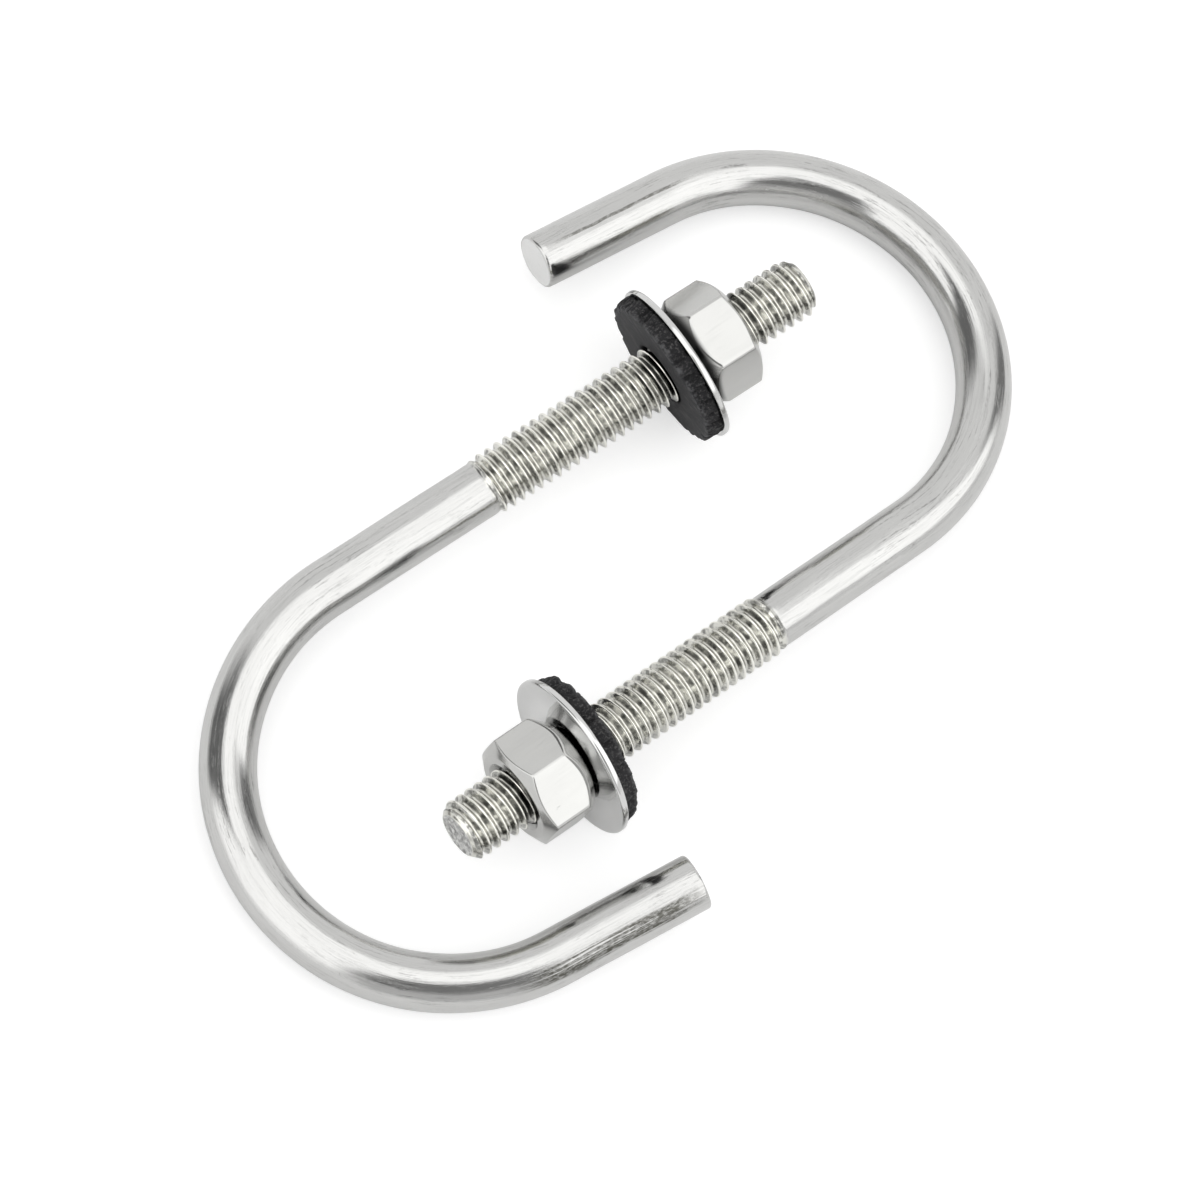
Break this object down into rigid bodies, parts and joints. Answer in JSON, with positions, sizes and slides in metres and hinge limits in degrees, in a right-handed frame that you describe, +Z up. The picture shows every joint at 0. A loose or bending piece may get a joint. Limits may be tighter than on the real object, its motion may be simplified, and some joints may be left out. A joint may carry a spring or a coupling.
{
  "type": "hook bolt pair",
  "caption": "Pair of bright stainless M6 hook bolts lying head to tail, each with a long threaded leg, hex nut, flat washer and black rubber sealing washer.",
  "frame": {"origin": "middle of the pair's outline on the table it rests on", "axes": "+Z up from the table; +X along the left bolt's threaded leg (as seen from above) towards its thread end; +Y from the left bolt's hook opening towards its threaded leg"},
  "size_m": [0.0918, 0.0624, 0.0158],
  "materials": {
    "bolt_steel": "bright drawn stainless, satin-polished, rolled thread",
    "nut_steel": "bright cold-formed stainless, smooth flats",
    "washer_steel": "bright punched stainless sheet",
    "seal_rubber": "matt black moulded sheet rubber, die-cut edge"
  },
  "bodies": {
    "left_bolt": {"left_hook_bolt": "bolt_steel"},
    "left_seal": {"left_rubber_seal": "seal_rubber"},
    "left_washer": {"left_flat_washer": "washer_steel"},
    "left_nut": {"left_hex_nut": "nut_steel"},
    "right_bolt": {"right_hook_bolt": "bolt_steel"},
    "right_seal": {"right_rubber_seal": "seal_rubber"},
    "right_washer": {"right_flat_washer": "washer_steel"},
    "right_nut": {"right_hex_nut": "nut_steel"}
  },
  "joints": [
    {"name": "left_nut_spin", "type": "hinge", "parent": "left_washer", "child": "left_nut", "pos_m": [0.0182, 0.01228, 0.00819], "axis": [0.9965, 0, 0.0835], "range_deg": [-7201, 4681]},
    {"name": "left_washer_travel", "type": "slide", "parent": "left_bolt", "child": "left_washer", "axis": [0.9965, 0, 0.0835], "range_m": [-0.02, 0.013]},
    {"name": "left_seal_travel", "type": "slide", "parent": "left_bolt", "child": "left_seal", "axis": [0.9965, 0, 0.0835], "range_m": [-0.0201, 0.0131]},
    {"name": "right_nut_spin", "type": "hinge", "parent": "right_washer", "child": "right_nut", "pos_m": [-0.01854, -0.01379, 0.0082], "axis": [-0.9953, -0.0502, 0.0827], "range_deg": [-7741, 4105]},
    {"name": "right_washer_travel", "type": "slide", "parent": "right_bolt", "child": "right_washer", "axis": [-0.9953, -0.0502, 0.0827], "range_m": [-0.0215, 0.0114]},
    {"name": "right_seal_travel", "type": "slide", "parent": "right_bolt", "child": "right_seal", "axis": [-0.9953, -0.0502, 0.0827], "range_m": [-0.0216, 0.0115]},
    {"name": "right_bolt_lift", "type": "slide", "parent": "left_bolt", "child": "right_bolt", "axis": [0, 0, 1], "range_m": [0, 0.04]}
  ],
  "couplings": [
    {"joint": "left_nut_spin", "follows": "left_washer_travel", "rad_per_m": 6283.2},
    {"joint": "left_seal_travel", "follows": "left_washer_travel", "ratio": 1},
    {"joint": "right_nut_spin", "follows": "right_washer_travel", "rad_per_m": 6283.2},
    {"joint": "right_seal_travel", "follows": "right_washer_travel", "ratio": 1}
  ]
}
